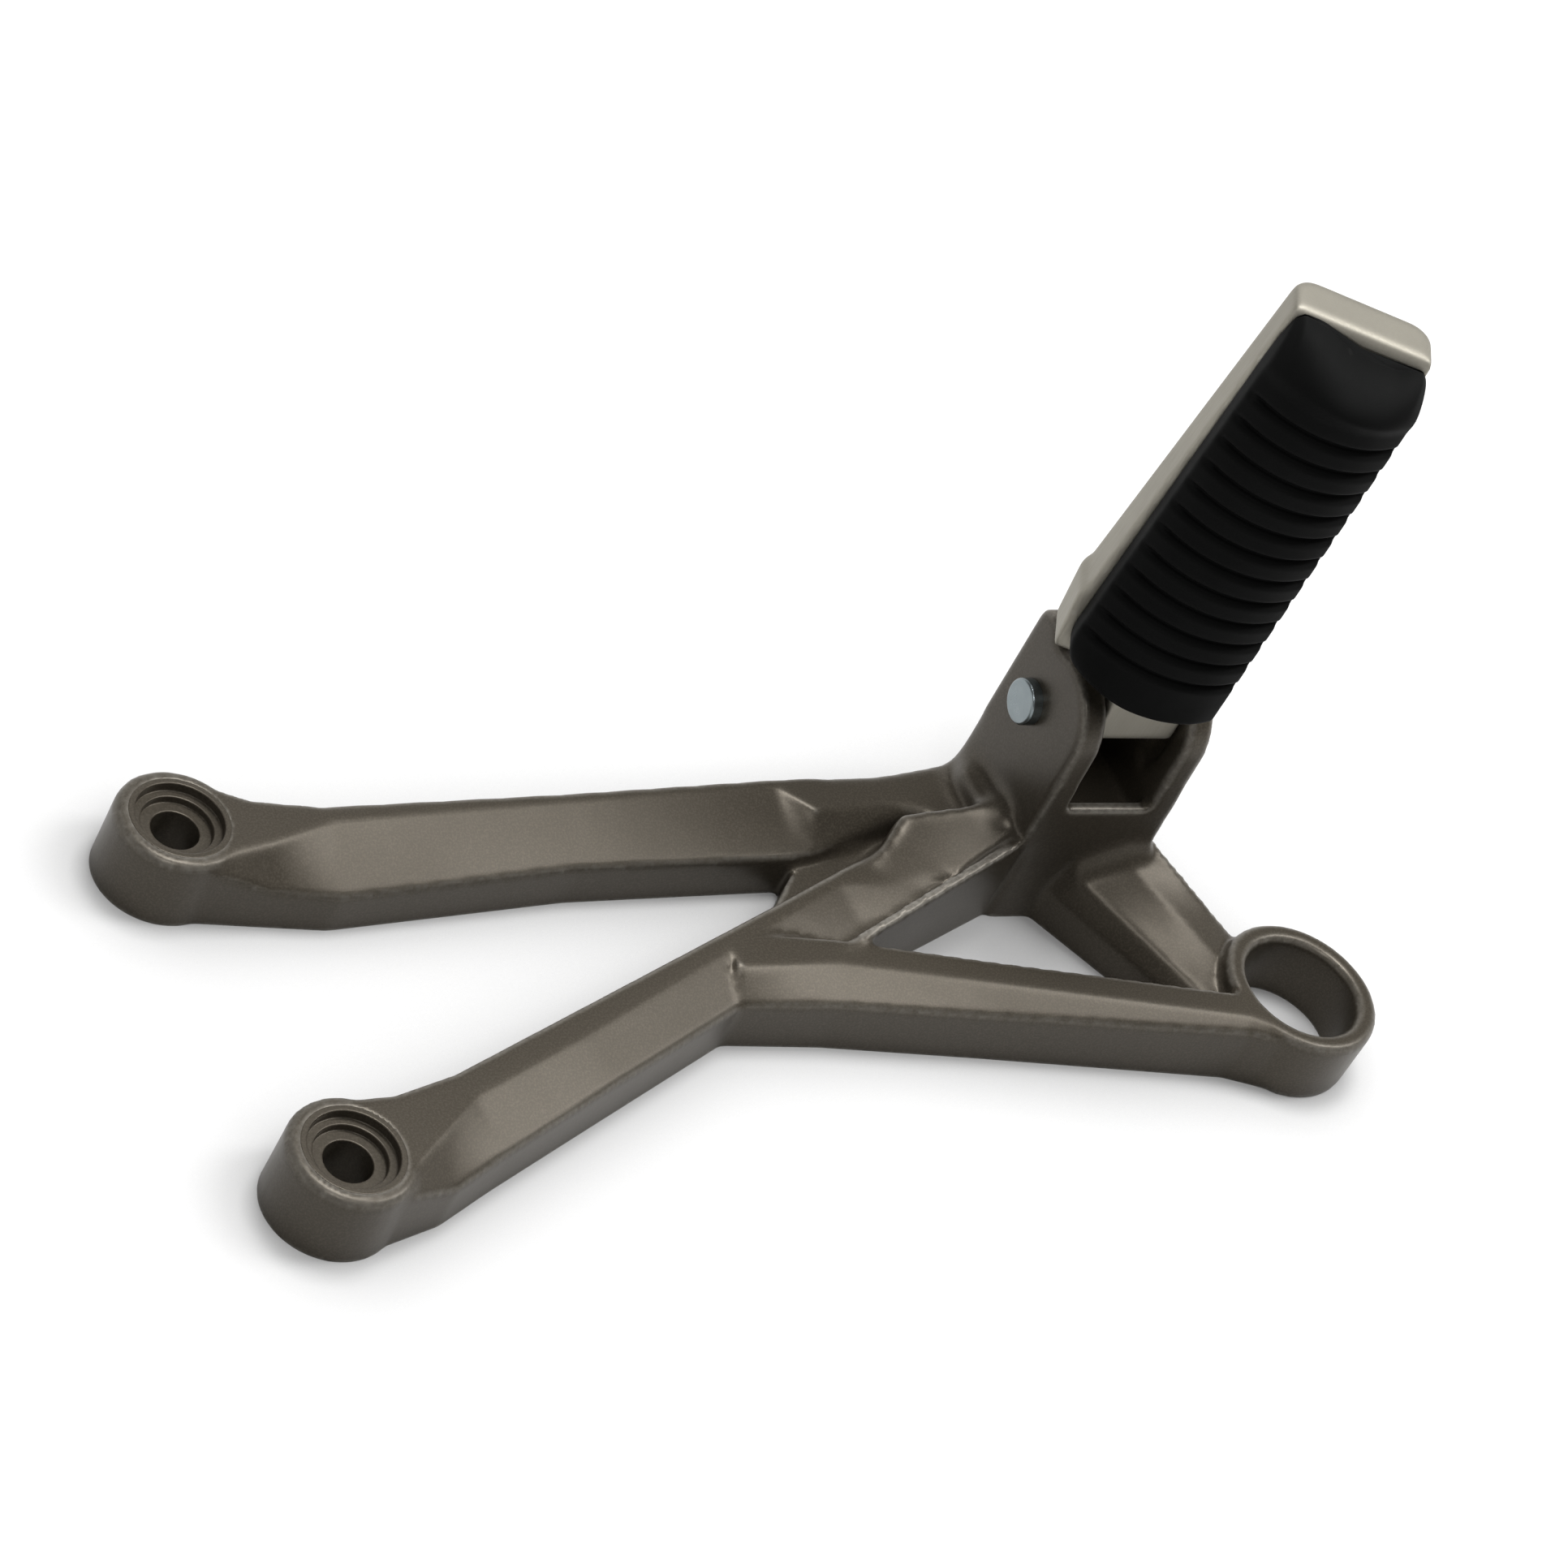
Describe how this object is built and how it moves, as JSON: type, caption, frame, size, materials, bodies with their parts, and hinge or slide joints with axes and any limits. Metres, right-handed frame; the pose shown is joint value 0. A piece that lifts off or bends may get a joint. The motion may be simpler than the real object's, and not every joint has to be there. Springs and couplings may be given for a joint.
{
  "type": "folding motorcycle footrest",
  "caption": "Folding passenger footrest: cast bracket with bolt eyelets and a hanger ring, and a clevis that carries a metal footpeg with a ribbed rubber pad.",
  "frame": {"origin": "axis of the upper bolt eyelet on the bracket's back plane", "axes": "+Z out of the back plane, towards the tip of the footpeg; +X from the eyelets to the hanger ring, along the pivot pin; +Y across, away from the second eyelet"},
  "size_m": [0.2486, 0.1002, 0.1465],
  "materials": {
    "bracket_paint": "warm grey metallic paint on a casting",
    "peg_metal": "satin bare metal",
    "pad_rubber": "matt moulded rubber",
    "zinc_steel": "zinc plated"
  },
  "bodies": {
    "bracket_body": {"bracket": "bracket_paint", "pivot_pin": "zinc_steel", "pin_washer": "zinc_steel", "split_pin": "zinc_steel"},
    "footpeg_body": {"footpeg": "peg_metal", "rubber_pad": "pad_rubber", "pad_core": "zinc_steel", "pad_screw_inner": "zinc_steel", "pad_screw_outer": "zinc_steel", "pad_washer_inner": "zinc_steel", "pad_washer_outer": "zinc_steel", "detent_ball": "zinc_steel", "detent_spring": "zinc_steel"}
  },
  "joints": [
    {"name": "footpeg_fold", "type": "hinge", "parent": "bracket_body", "child": "footpeg_body", "pos_m": [0.1812, 0.0051, 0.041], "axis": [1, 0, 0], "range_deg": [0, 75]}
  ]
}
